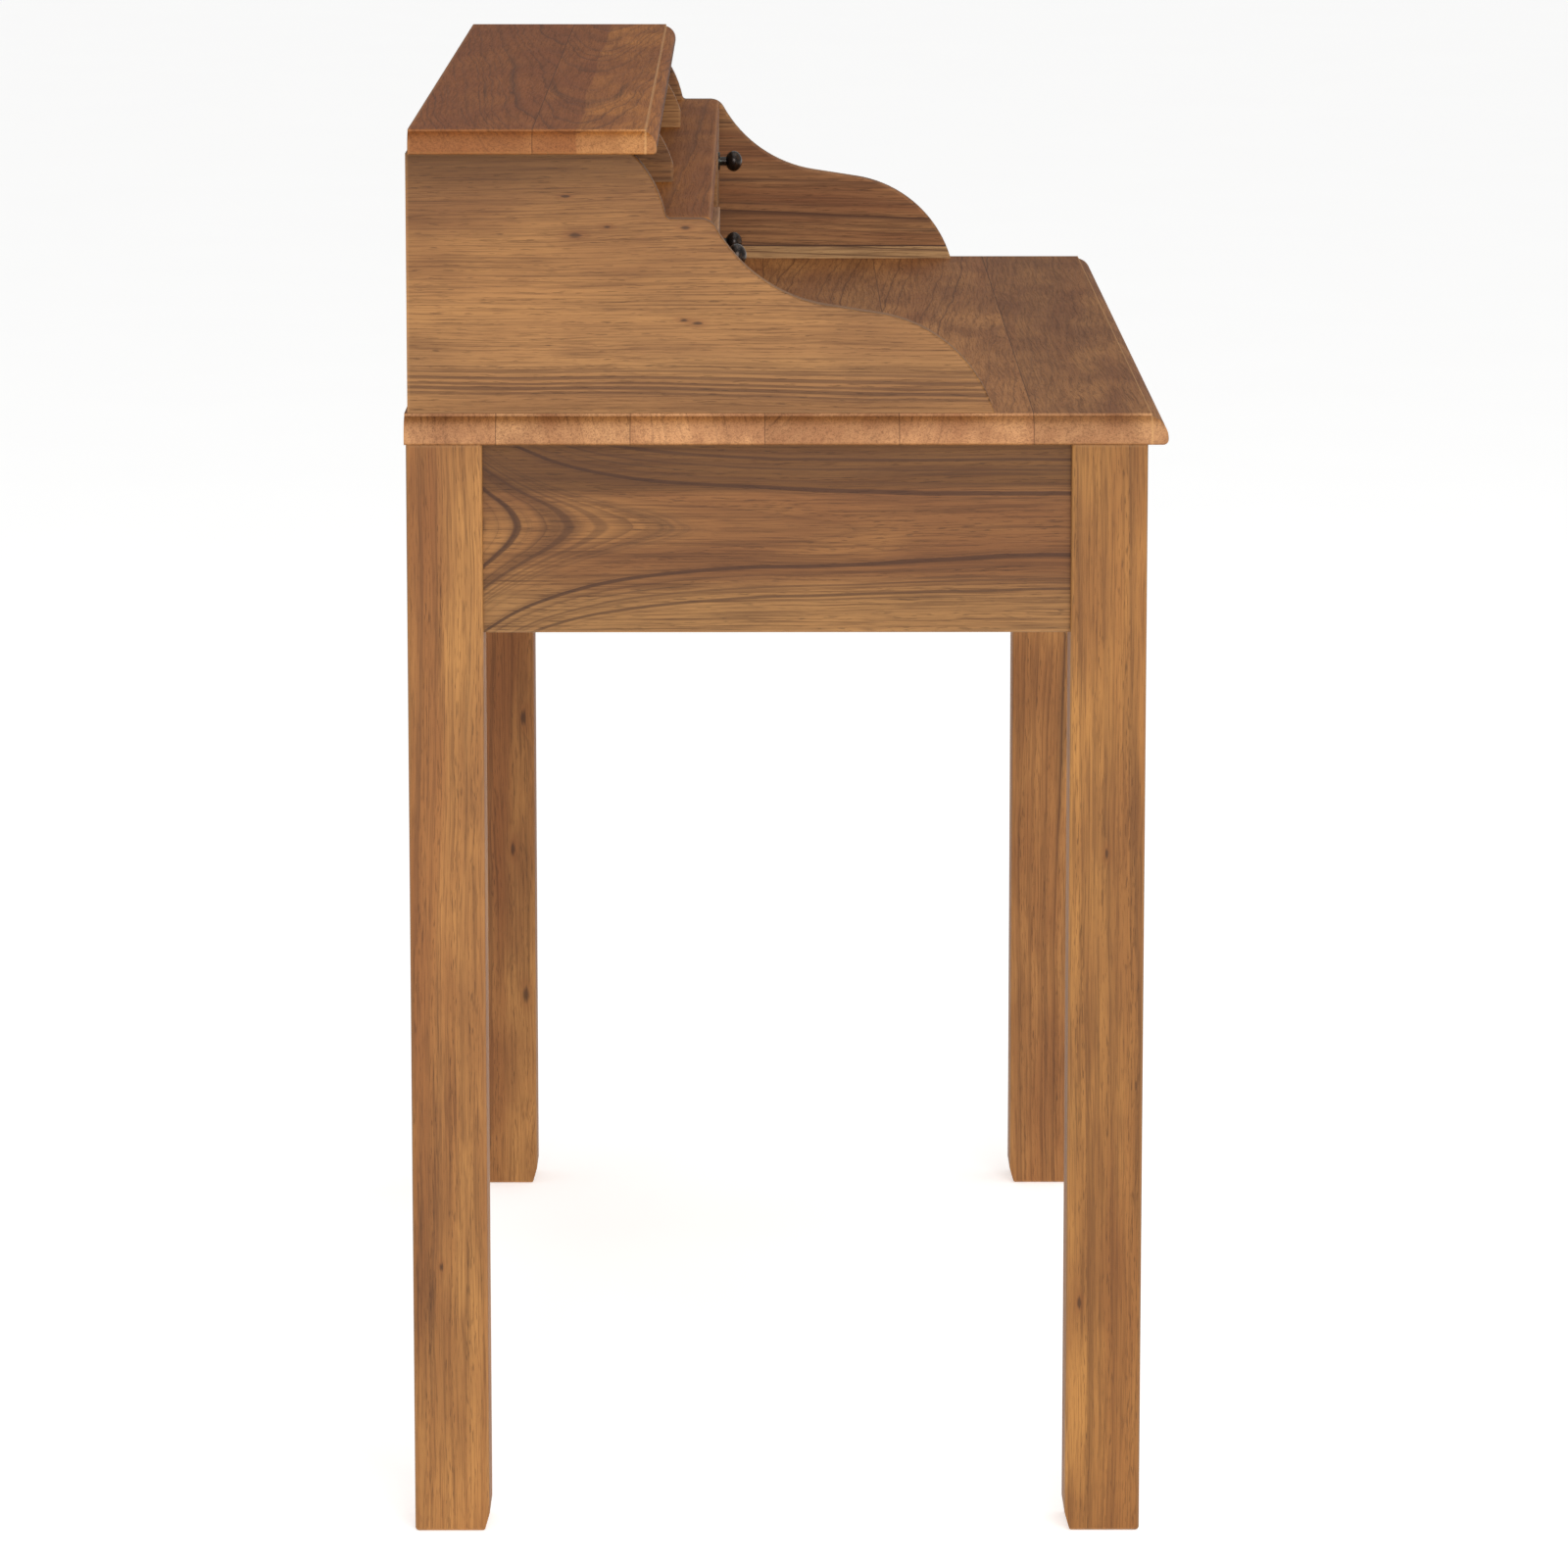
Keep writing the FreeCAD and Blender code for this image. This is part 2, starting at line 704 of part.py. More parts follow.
def draw_side_outline(sketch):
    """The side panel's outline, from its back edge forwards along the scroll.

    The sketch's x runs to the back, so every depth is negative. The scroll is a tangent chain: ledge
    corner, hollow, short slope and swell.
    """
    height = hutch_panel_height
    ledge = d.shelf_height

    def at(depth, level):
        return FreeCAD.Vector(-Size.of(depth).value, Size.of(level).value, 0)

    guesses = scroll_path((d.ledge_depth.value, ledge.value))
    corner_end, hollow_end, slope_end = [at(*point) for point in guesses]
    relief = d.step_relief_radius
    back_foot = at(0, 0)
    back_head = at(0, height)
    brow_top = at(d.brow_depth, height)
    brow_foot = at(d.step_depth, ledge + relief)
    step_start = at(d.step_depth + relief, ledge)
    ledge_end = at(d.ledge_depth, ledge)
    tip = at(d.scroll_depth, 0)

    back = add_line(sketch, back_foot, back_head)
    head = add_line(sketch, back_head, brow_top)
    brow = add_arc(sketch, brow_top, brow_foot, d.brow_radius.value, 1)
    inner_corner = add_arc(sketch, brow_foot, step_start, relief.value, -1)
    step = add_line(sketch, step_start, ledge_end)
    corner = add_arc(sketch, ledge_end, corner_end, d.ledge_radius.value, 1)
    hollow = add_arc(sketch, corner_end, hollow_end, d.hollow_radius.value, -1)
    slope = add_line(sketch, hollow_end, slope_end)
    swell = add_arc(sketch, slope_end, tip, d.swell_radius.value, 1)
    foot = add_line(sketch, tip, back_foot)

    chain = [back, head, brow, inner_corner, step, corner, hollow, slope, swell, foot]
    smooth = (brow, inner_corner, step, corner, hollow, slope)
    for this, following in zip(chain, chain[1:] + chain[:1]):
        kind = "Tangent" if this in smooth else "Coincident"
        sketch.addConstraint(Sketcher.Constraint(kind, this[0], this[2], following[0], following[1]))
    pin(sketch, back[0], back[1], 0, 0)
    pin(sketch, head[0], head[1], 0, height)
    pin(sketch, brow[0], brow[1], -d.brow_depth, height)
    pin(sketch, step[0], step[2], -d.ledge_depth, ledge)
    sketch.addConstraint(Sketcher.Constraint("Horizontal", step[0]))
    pin(sketch, foot[0], foot[1], -d.scroll_depth, 0)
    # The brow's circle aims at the sharp corner that the relief rounds off.
    aim = sketch.addGeometry(Part.Point(at(d.step_depth, ledge)), True)
    pin(sketch, aim, 1, -d.step_depth, ledge)
    sketch.addConstraint(Sketcher.Constraint("PointOnObject", aim, 1, brow[0]))
    constrain(sketch, d.brow_radius, "Radius", brow[0])
    constrain(sketch, relief, "Radius", inner_corner[0])
    constrain(sketch, d.ledge_radius, "Radius", corner[0])
    constrain(sketch, d.hollow_radius, "Radius", hollow[0])
    constrain(sketch, d.swell_radius, "Radius", swell[0])
    constrain(sketch, d.slope_length, "Distance", slope[0])


def hutch_side(label, side):
    """A scrolled side panel. Its origin is the outer face's lowest point at the hutch's back."""
    body = new_body(label, (side * hutch_outer_x, hutch_back_y, d.desk_height))
    sketch = new_sketch(body, "YZ_Plane")
    draw_side_outline(sketch)
    extrude(body, "Pad", sketch, d.hutch_panel_thickness, backwards=side > 0)

    def along_scroll(edge):
        box = edge.BoundBox
        flat = lies_at(edge, 0, 0) or lies_at(edge, 0, -side * d.hutch_panel_thickness.value)
        in_front = box.YMin < -d.brow_depth.value - 1
        return flat and in_front and box.ZMax > 1

    round_edges(body, d.scroll_edge_radius, along_scroll)
    middle = -side * d.hutch_panel_thickness / 2
    feet = [(middle, Size.of(-setback)) for setback in PANEL_FOOT_DOWELS]
    heads = [(middle, Size.of(-setback)) for setback in PANEL_HEAD_DOWELS]
    drill(body, "XY_Plane", 0, feet, dowel_hole_radius, dowel_far_depth, backwards=True)
    drill(body, "XY_Plane", hutch_panel_height, heads, dowel_hole_radius, dowel_far_depth)
    level = d.shelf_height - d.shelf_thickness / 2
    ends = [(Size.of(-setback), level) for setback in SHELF_DOWELS]
    inner_face = -side * d.hutch_panel_thickness
    drill(body, "YZ_Plane", inner_face, ends, dowel_hole_radius, dowel_hole_depth, backwards=side > 0)


def hutch_top():
    """The hutch's moulded top board, with blind holes underneath for the panels' dowels."""
    edge = (d.hutch_top_band, d.hutch_top_quirk, d.hutch_top_nose_height, d.hutch_top_under_radius)
    front_y = back_plane - d.hutch_top_back_inset - d.hutch_top_depth
    at = (Size.of(0), front_y, d.full_height - d.hutch_top_thickness)
    body = moulded_board("hutch_top", at, d.desk_width, d.hutch_top_depth, d.hutch_top_thickness, edge)
    holes = []
    for side in (-1, 1):
        for setback in PANEL_HEAD_DOWELS:
            holes.append((side * panel_middle_x, hutch_back_y - front_y - setback))
    drill(body, "XY_Plane", 0, holes, dowel_hole_radius, dowel_hole_depth, backwards=True)


def hutch_shelf():
    """The shelf over the small drawers, its front top edge rounded over."""
    length = 2 * hutch_inner_x
    depth = hutch_inside_back_y - shelf_front_y
    corner = (-hutch_inner_x, shelf_front_y, shelf_underside)
    body = board("hutch_shelf", corner, (length, depth, d.shelf_thickness))

    def top_front(edge):
        return runs_along(edge, 0) and lies_at(edge, 1, 0) and lies_at(edge, 2, d.shelf_thickness.value)

    round_edges(body, d.shelf_nose_radius, top_front)
    level = d.shelf_thickness / 2
    ends = [(hutch_back_y - shelf_front_y - setback, level) for setback in SHELF_DOWELS]
    drill(body, "YZ_Plane", 0, ends, dowel_hole_radius, dowel_far_depth, backwards=True)
    drill(body, "YZ_Plane", length, ends, dowel_hole_radius, dowel_far_depth)


def hutch_divider(label, side):
    """A short upright between the pigeonholes, its front edge curved like the side panels' brow."""
    left = side * d.partition_offset - d.divider_thickness / 2
    body = new_body(label, (left, hutch_back_y, shelf_top))
    height = hutch_panel_height - d.shelf_height
    back = -d.hutch_back_thickness
    sketch = new_sketch(body, "YZ_Plane")
    corners = [
        (back, 0),
        (back, height),
        (-d.divider_top_depth, height, d.divider_radius, 1),
        (-d.divider_depth, d.divider_upright),
        (-d.divider_depth, 0),
    ]
    outline(sketch, corners)
    extrude(body, "Pad", sketch, d.divider_thickness)


def hutch_partition(label, side):
    """An upright between the open bay and the small drawers, from the desktop to the shelf."""
    left = side * d.partition_offset - d.partition_thickness / 2
    depth = hutch_inside_back_y - shelf_front_y
    height = shelf_underside - d.desk_height
    body = board(label, (left, shelf_front_y, d.desk_height), (d.partition_thickness, depth, height))
    middle = d.partition_thickness / 2
    holes = [(middle, hutch_back_y - shelf_front_y - setback) for setback in PARTITION_DOWELS]
    drill(body, "XY_Plane", 0, holes, dowel_hole_radius, dowel_far_depth, backwards=True)


def hutch_rail(label, side):
    """The board between two stacked small drawers."""
    width = hutch_inner_x - partition_outer_x
    left = partition_outer_x if side > 0 else -hutch_inner_x
    depth = hutch_inside_back_y - shelf_front_y
    board(label, (left, shelf_front_y, small_rail_underside), (width, depth, d.partition_thickness))


def hutch_back():
    """The panel that closes the hutch behind, between its sides."""
    length = 2 * hutch_inner_x
    board(
        "hutch_back",
        (-hutch_inner_x, hutch_inside_back_y, d.desk_height),
        (length, d.hutch_back_thickness, hutch_panel_height),
    )


def dowels():
    """The wooden dowels that hold the hutch together and to the desktop."""
    length = 2 * d.dowel_half_length
    pegs = []

    def peg(at):
        pegs.append(upright_cylinder(d.dowel_radius, length, at, "peg"))
        return pegs[-1]

    for side in (-1, 1):
        for setback in PANEL_FOOT_DOWELS:
            peg((side * panel_middle_x, hutch_back_y - setback, d.desk_height - d.dowel_bite))
        for setback in PARTITION_DOWELS:
            peg((side * d.partition_offset, hutch_back_y - setback, d.desk_height - d.dowel_bite))
        head_level = d.desk_height + hutch_panel_height - dowel_far_bite
        for setback in PANEL_HEAD_DOWELS:
            peg((side * panel_middle_x, hutch_back_y - setback, head_level))
        for setback in SHELF_DOWELS:
            start = side * (hutch_inner_x + d.dowel_bite)
            level = shelf_top - d.shelf_thickness / 2
            turned(peg((start, hutch_back_y - setback, level)), (0, 1, 0), -90 * side)
    group("dowels", pegs)


# ---------------------------------------------------------------- drawers


def knob(label, at, front_thickness):
    """A turned metal knob on a flange, and the machine screw that holds it from inside the drawer.

    `at` is the middle of the knob on the drawer front's outer face. The knob points to the front.
    """
    x, y, z = at

    def towards_front(radius, start, length):
        cylinder = upright_cylinder(radius, length, (x, y - start, z))
        return turned(cylinder, (1, 0, 0), 90)

    ball = document.addObject("Part::Ellipsoid", "ball")
    bind(ball, "Radius1", d.knob_half_thickness)
    bind(ball, "Radius2", d.knob_radius)
    place(ball, (x, y - (d.knob_reach - d.knob_half_thickness), z))
    turned(ball, (1, 0, 0), 90)
    flange = towards_front(d.flange_radius, Size.of(0), d.flange_thickness)
    stem = towards_front(d.stem_radius, Size.of(0), d.knob_reach - d.knob_half_thickness)
    blank = document.addObject("Part::MultiFuse", "knob_blank")
    blank.Shapes = [ball, flange, stem]
    hole_radius = d.knob_screw_radius + d.hole_clearance
    hole = towards_front(hole_radius, Size.of(0), d.knob_screw_bite + d.hole_clearance)
    drilled = document.addObject("Part::Cut", "knob_body")
    drilled.Base = blank
    drilled.Tool = hole

    head_start = -(front_thickness + d.knob_screw_head_height)
    head = towards_front(d.knob_screw_head_radius, head_start, d.knob_screw_head_height)
    shank = towards_front(d.knob_screw_radius, head_start, d.knob_screw_bite - head_start)
    screw = document.addObject("Part::Fuse", "knob_screw")
    screw.Base = head
    screw.Tool = shank
    group(label, [drilled, screw])


def drawer(name, opening, front_y, build, knob_rise):
    """A drawer that fills an opening: front, two sides, back, bottom in grooves, and knob.

    `opening` is ((low x, low z), (high x, high z)). `build` holds the thicknesses and depth.
    """
    (low_x, low_z), (high_x, high_z) = opening
    width = high_x - low_x - 2 * build.gap
    height = high_z - low_z - 2 * build.gap
    left = low_x + build.gap
    box_front_y = front_y + build.front_thickness
    box_floor = low_z + d.drawer_clearance
    groove_floor = box_floor + build.bottom_inset
    inner_half = width / 2 - build.side_thickness

    front_corner = (left, front_y, low_z + build.gap)
    front = board(f"{name}_front", front_corner, (width, build.front_thickness, height))

    def outer_face(edge):
        return lies_at(edge, 1, 0)

    round_edges(front, d.front_edge_radius, outer_face)
    groove_left = build.side_thickness - d.groove_depth
    groove_z = groove_floor - low_z - build.gap
    cut_block(
        front,
        (groove_left, build.front_thickness - d.groove_depth, groove_z),
        (width - groove_left, build.front_thickness, groove_z + build.bottom_thickness),
    )
    knob_z = height / 2 + knob_rise
    hole = d.knob_screw_radius + d.hole_clearance
    drill(front, "XZ_Plane", 0, [(width / 2, knob_z)], hole, build.front_thickness)

    sides = []
    for side in (-1, 1):
        side_body = document.addObject("PartDesign::Body", "drawer_side")
        edge_x = left if side < 0 else left + width - build.side_thickness
        place(side_body, (edge_x, box_front_y, box_floor))
        add_block(side_body, (0, 0, 0), (build.side_thickness, build.box_depth, build.side_height))
        groove_x = build.side_thickness - d.groove_depth if side < 0 else Size.of(0)
        low = (groove_x, Size.of(0), build.bottom_inset)
        high = (groove_x + d.groove_depth, build.box_depth, build.bottom_inset + build.bottom_thickness)
        cut_block(side_body, low, high)
        sides.append(side_body)
    group(f"{name}_sides", sides)

    back_floor = groove_floor + build.bottom_thickness
    back_height = box_floor + build.side_height - back_floor - build.back_drop
    back_y = box_front_y + build.box_depth - build.side_thickness
    board(
        f"{name}_back",
        (left + build.side_thickness, back_y, back_floor),
        (2 * inner_half, build.side_thickness, back_height),
    )
    board(
        f"{name}_bottom",
        (left + groove_left, box_front_y - d.groove_depth, groove_floor),
        (width - 2 * groove_left, build.box_depth + d.groove_depth, build.bottom_thickness),
    )
    knob(f"{name}_knob", (left + width / 2, front_y, low_z + build.gap + knob_z), build.front_thickness)


def small_drawers():
    """Two stacked drawers at each end of the hutch. The upper left one rests slightly ajar."""
    build = types.SimpleNamespace(
        gap=d.small_gap,
        front_thickness=d.small_front_thickness,
        side_thickness=d.small_side_thickness,
        side_height=d.small_side_height,
        box_depth=d.small_box_depth,
        bottom_thickness=d.small_bottom_thickness,
        bottom_inset=d.small_bottom_inset,
        back_drop=d.small_gap,
    )
    bays = {"left": (-hutch_inner_x, -partition_outer_x), "right": (partition_outer_x, hutch_inner_x)}
    tiers = {"lower": (d.desk_height, small_rail_underside), "upper": (small_rail_top, shelf_underside)}
    for bay, (low_x, high_x) in bays.items():
        for tier, (low_z, high_z) in tiers.items():
            pulled = d.ajar if (bay, tier) == ("left", "upper") else Size.of(0)
            opening = ((low_x, low_z), (high_x, high_z))
            drawer(f"small_{tier}_{bay}", opening, shelf_front_y - pulled, build, d.small_knob_rise)


def wide_drawers():
    """The two wide drawers between the rails under the desktop."""
    build = types.SimpleNamespace(
        gap=d.wide_gap,
        front_thickness=d.wide_front_thickness,
        side_thickness=d.wide_side_thickness,
        side_height=d.wide_side_height,
        box_depth=d.wide_box_depth,
        bottom_thickness=d.wide_bottom_thickness,
        bottom_inset=d.wide_bottom_inset,
        back_drop=d.wide_gap,
    )
    spans = {"left": (-leg_inner_x, -half_stile), "right": (half_stile, leg_inner_x)}
    for bay, (low_x, high_x) in spans.items():
        opening = ((low_x, opening_floor), (high_x, opening_roof))
        drawer(f"wide_{bay}", opening, rail_front_y, build, Size.of(0))


# ---------------------------------------------------------------- build, check and write


def build_desk():
    desktop()
    for end_name, end in (("front", -1), ("back", 1)):
        for side_name, side in (("left", -1), ("right", 1)):
            leg(f"leg_{end_name}_{side_name}", side, end)
    for side_name, side in (("left", -1), ("right", 1)):
        side_apron(f"apron_{side_name}", side)
        hutch_side(f"hutch_side_{side_name}", side)
        hutch_partition(f"hutch_partition_{side_name}", side)
        hutch_rail(f"hutch_rail_{side_name}", side)
        hutch_divider(f"hutch_divider_{side_name}", side)
    back_apron()
    front_rails()
    runners()
    kickers()
    desktop_screws()
    hutch_top()
    hutch_shelf()
    hutch_back()
    dowels()
    small_drawers()
    wide_drawers()
    document.recompute()


def check_features():
    """Stop if any object failed, or if a pad or pocket did not change its body."""
    smallest_change = 1
    for thing in document.Objects:
        if "Invalid" in thing.State or "Error" in thing.State:
            raise RuntimeError(f"{thing.Name} of {thing.Label} failed: {thing.State}")
        if thing.TypeId in ("PartDesign::Pad", "PartDesign::Pocket") and thing.BaseFeature:
            change = thing.Shape.Volume - thing.BaseFeature.Shape.Volume
            gain = change if thing.TypeId == "PartDesign::Pad" else -change
            if gain < smallest_change:
                owner = thing.getParentGeoFeatureGroup().Label
                raise RuntimeError(f"{thing.Name} changes {owner} by {change:.2f} mm3")


def write_parts():
    os.makedirs("parts", exist_ok=True)
    for label, thing in subparts.items():
        shape = thing.Shape
        if shape.isNull() or not shape.isValid() or not shape.Solids:
            raise RuntimeError(f"{label} has no valid shape")
        shape.exportStep(f"parts/{label}.step")
    print(f"{len(subparts)} sub-parts written")


build_desk()
check_features()
write_parts()
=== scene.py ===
"""The looks of the secretary desk: teak with its growth rings, dark bronze knobs, a pale studio."""

import math
from dataclasses import dataclass

import bmesh
import bpy
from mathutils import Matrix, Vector


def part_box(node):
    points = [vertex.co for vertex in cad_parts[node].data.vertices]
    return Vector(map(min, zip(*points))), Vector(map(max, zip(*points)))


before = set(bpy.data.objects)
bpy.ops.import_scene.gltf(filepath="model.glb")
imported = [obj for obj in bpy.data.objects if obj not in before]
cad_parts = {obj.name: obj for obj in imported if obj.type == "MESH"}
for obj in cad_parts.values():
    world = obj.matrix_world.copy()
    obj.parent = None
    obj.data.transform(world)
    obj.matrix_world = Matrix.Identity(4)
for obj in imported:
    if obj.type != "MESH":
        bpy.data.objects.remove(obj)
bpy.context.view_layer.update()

MM = 0.001


def linear(red, green, blue):
    """A colour given as 0 to 255 on a display, as the renderer's linear colour."""

    def channel(value):
        value /= 255
        return value / 12.92 if value <= 0.04045 else ((value + 0.055) / 1.055) ** 2.4

    return (channel(red), channel(green), channel(blue), 1.0)


GOLD = linear(180, 130, 77)
TAN = linear(146, 100, 58)
RUSSET = linear(126, 75, 40)
LATEWOOD = linear(88, 55, 31)
STREAK = linear(58, 39, 29)
PORE = linear(58, 36, 22)
SAPWOOD = linear(206, 162, 104)
KNOT = linear(46, 29, 19)
ARRIS = linear(198, 150, 98)
GLUE_LINE = linear(66, 42, 27)
UMBER = linear(70, 41, 25)
OLIVE = linear(92, 60, 22)


class Graph:
    """Adds nodes to a material and joins them. An input is a number, a tuple or another node's output."""

    def __init__(self, name):
        self.material = bpy.data.materials.new(name)
        self.material.use_nodes = True
        self.tree = self.material.node_tree
        self.tree.nodes.clear()

    def add(self, kind, inputs=None, output=0, **settings):
        node = self.tree.nodes.new(kind)
        for key, value in settings.items():
            setattr(node, key, value)
        for key, value in (inputs or {}).items():
            if isinstance(value, bpy.types.NodeSocket):
                self.tree.links.new(value, node.inputs[key])
            else:
                node.inputs[key].default_value = value
        return node.outputs[output]

    def math(self, operation, *values):
        return self.add("ShaderNodeMath", dict(enumerate(values)), operation=operation)

    def affine(self, value, factor, offset):
        return self.math("ADD", self.math("MULTIPLY", value, factor), offset)

    def swing(self, value, reach):
        """A value of 0 to 1 as a distance to either side of nothing, `reach` wide in all."""
        return self.math("MULTIPLY", self.math("SUBTRACT", value, 0.5), reach)

    def axes(self, vector):
        node = self.add("ShaderNodeSeparateXYZ", {0: vector}).node
        return list(node.outputs)

    def vector(self, x, y, z):
        return self.add("ShaderNodeCombineXYZ", {0: x, 1: y, 2: z})

    def noise(self, vector, scale, detail=2.0, roughness=0.5, output=0):
        inputs = {"Vector": vector, "Scale": scale, "Detail": detail, "Roughness": roughness}
        return self.add("ShaderNodeTexNoise", inputs, output)

    def random(self, value, output=0):
        return self.add("ShaderNodeTexWhiteNoise", {"W": value}, output, noise_dimensions="1D")

    def ramp(self, value, *stops):
        """A value mapped through (place, result) stops with straight lines between them."""
        node = self.add("ShaderNodeFloatCurve", {"Factor": 1.0, "Value": value}).node
        curve = node.mapping.curves[0]
        while len(curve.points) < len(stops):
            curve.points.new(0.5, 0.5)
        for point, (place, result) in zip(curve.points, stops):
            point.location = (place, result)
            point.handle_type = "VECTOR"
        node.mapping.update()
        return node.outputs[0]

    def step(self, value, start, end):
        """0 below start and 1 above end, smooth between; start may be above end."""
        inputs = {"Value": value, "From Min": start, "From Max": end}
        return self.add("ShaderNodeMapRange", inputs, interpolation_type="SMOOTHSTEP")

    def mix(self, factor, a, b, blend="MIX"):
        inputs = {0: factor, 6: a, 7: b}
        return self.add("ShaderNodeMix", inputs, 2, data_type="RGBA", blend_type=blend)

    def finish(self, color, roughness, height, relief, **shader):
        """The surface: its own constants are set on the shader, and its patterns are joined to it."""
        normal = self.add("ShaderNodeBump", {"Height": height, "Strength": 0.6, "Distance": relief})
        inputs = {"Base Color": color, "Roughness": roughness, "Normal": normal}
        inputs.update({key.replace("_", " "): value for key, value in shader.items()})
        surface = self.add("ShaderNodeBsdfPrincipled", inputs)
        self.add_output(surface)
        return self.material

    def add_output(self, surface):
        node = self.tree.nodes.new("ShaderNodeOutputMaterial")
        self.tree.links.new(surface, node.inputs["Surface"])


@dataclass
class Figure:
    """How one board was sawn from its tree. Lengths are in metres, from the middle of the board.

    grain is the axis that the fibres follow, pitch the width of a year's growth, heart the tree's middle
    (across, through), and taper how fast the tree narrows. flare is (strength, reach, start) of the growth
    below a branch. Knots are (across, along, radius), bands are (axis, edge, softness, amount, colour) and
    darken one side of their edge, some partly as painted shade, and shells are (radius, width, amount) of
    single dark rings. stave is the width of a glued stave, or 0 for one board. light_line is how far the
    moulding's line of painted highlight lies behind the front edge.
    """

    grain: str
    seed: float
    pitch: float = 0.006
    heart: tuple = (0.02, 0.16)
    taper: float = 0.02
    flare: tuple = (0.0, 0.05, 0.0)
    warp: float = 0.012
    rings: float = 0.6
    streaks: float = 0.5
    tint: tuple = (1.0, 1.0, 1.0)
    end_tint: tuple = ()
    redness: float = 0.35
    mottle: float = 1.0
    stave: float = 0.0
    stave_shift: float = 0.0
    stave_contrast: float = 0.36
    knots: tuple = ()
    bands: tuple = ()
    shells: tuple = ()
    light_line: float = 0.0
    crisp: float = 1.0
    relief: float = 0.25
    gloss: float = 0.28


# Which axes of the frame run across, through and along a board, for each axis of its grain.
ACROSS = {"x": (1, 2, 0), "y": (2, 0, 1), "z": (1, 0, 2)}

# Texture rates: cycles a metre across the grain, then along it.
BEND_RATE = (7.0, 1.7)
RIPPLE_RATE = (60.0, 14.0)
HAZE_RATE = (9.0, 3.2)
CLOUD_RATE = (30.0, 8.0)
COARSE_FIBRE_RATE = (520.0, 6.0)
FINE_FIBRE_RATE = (1150.0, 16.0)
PORE_RATE = (1500.0, 95.0)
STREAK_RATE = (210.0, 1.8)
BROAD_BAND_RATE = (30.0, 1.1)

# How far apart in the tree two glued staves may have grown: across, through and along, in metres.
STAVE_SPREAD = (0.12, 0.03, 4.0)
GLUE_CORE, GLUE_EDGE = 0.1 * MM, 0.5 * MM
KNOT_STRETCH = 2.6
KNOT_SWELL = 1.8
ARRIS_WIDTH = 2.4 * MM
ARRIS_CORE = 0.4 * MM
LIGHT_LINE_WIDTH = 1.1 * MM
LIGHT_LINE_CORE = 0.3 * MM


def board_coordinates(g, name, figure):
    """The three distances from the board's middle: across, through and along the grain. And the arris."""
    low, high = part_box(name)
    place = g.add("ShaderNodeTexCoord", output=3)
    xyz = g.axes(place)
    middle = (low + high) / 2
    half = (high - low) / 2
    centred = [g.math("SUBTRACT", xyz[i], middle[i]) for i in range(3)]
    inside = [g.math("SUBTRACT", half[i], g.math("ABSOLUTE", centred[i])) for i in range(3)]
    nearest = g.math("MINIMUM", inside[0], inside[1])
    farthest = g.math("MAXIMUM", inside[0], inside[1])
    arris = g.math("MAXIMUM", nearest, g.math("MINIMUM", farthest, inside[2]))
    across, through, along = (centred[i] for i in ACROSS[figure.grain])
    return across, through, along, arris


def scaled(g, across, through, along, rate):
    """Texture coordinates for a rate given as cycles a metre across the grain and along it."""
    wide, long = rate
    rates = ((across, wide), (through, wide), (along, long))
    return g.vector(*(g.math("MULTIPLY", value, cycles) for value, cycles in rates))


def staves(g, figure, across, through, along):
    """Glued staves: each one's place in the tree, its tone, and the thin line of glue between them."""
    place = g.math("DIVIDE", g.math("ADD", across, figure.stave_shift), figure.stave)
    index = g.math("FLOOR", place)
    first, second, third = g.axes(g.random(g.math("ADD", index, figure.seed), 1))
    spread_across, spread_through, spread_along = STAVE_SPREAD
    across = g.math("ADD", across, g.swing(first, spread_across))
    through = g.math("ADD", through, g.swing(second, spread_through))
    along = g.math("ADD", along, g.math("MULTIPLY", third, spread_along))
    off_middle = g.math("ABSOLUTE", g.math("SUBTRACT", g.math("FRACT", place), 0.5))
    glue = g.step(off_middle, 0.5 - GLUE_EDGE / figure.stave, 0.5 - GLUE_CORE / figure.stave)
    tone = g.math("ADD", g.swing(second, figure.stave_contrast), 1.0)
    return across, through, along, tone, glue


def knot_distance(g, across, along, knot):
    """The distance from a knot's middle in knot radii, stretched along the grain."""
    at_across, at_along, radius = knot
    side = g.math("DIVIDE", g.math("SUBTRACT", across, at_across), radius)
    length = g.math("DIVIDE", g.math("SUBTRACT", along, at_along), radius * KNOT_STRETCH)
    squares = g.math("ADD", g.math("MULTIPLY", side, side), g.math("MULTIPLY", length, length))
    return g.math("SQRT", squares)


def distance_from_heart(g, figure, across, through, along):
    """The distance from the tree's heart, which is equal all over one growth ring."""
    heart_across, heart_through = figure.heart
    side = g.math("SUBTRACT", across, heart_across)
    depth = g.math("SUBTRACT", through, heart_through)
    from_heart = g.vector(side, depth, 0.0)
    radius = g.add("ShaderNodeVectorMath", {0: from_heart}, 1, operation="LENGTH")
    radius = g.math("SUBTRACT", radius, g.math("MULTIPLY", along, figure.taper))
    strength, reach, start = figure.flare
    if strength:
        growth = g.math("EXPONENT", g.math("DIVIDE", g.math("SUBTRACT", along, start), reach))
        radius = g.math("SUBTRACT", radius, g.math("MULTIPLY", growth, strength))
    return radius


def swollen(g, radius, distance, knot):
    """The rings bulge round a knot."""
    swell = g.math("EXPONENT", g.math("MULTIPLY", g.math("MULTIPLY", distance, distance), -0.16))
    return g.math("ADD", radius, g.math("MULTIPLY", swell, knot[2] * KNOT_SWELL))


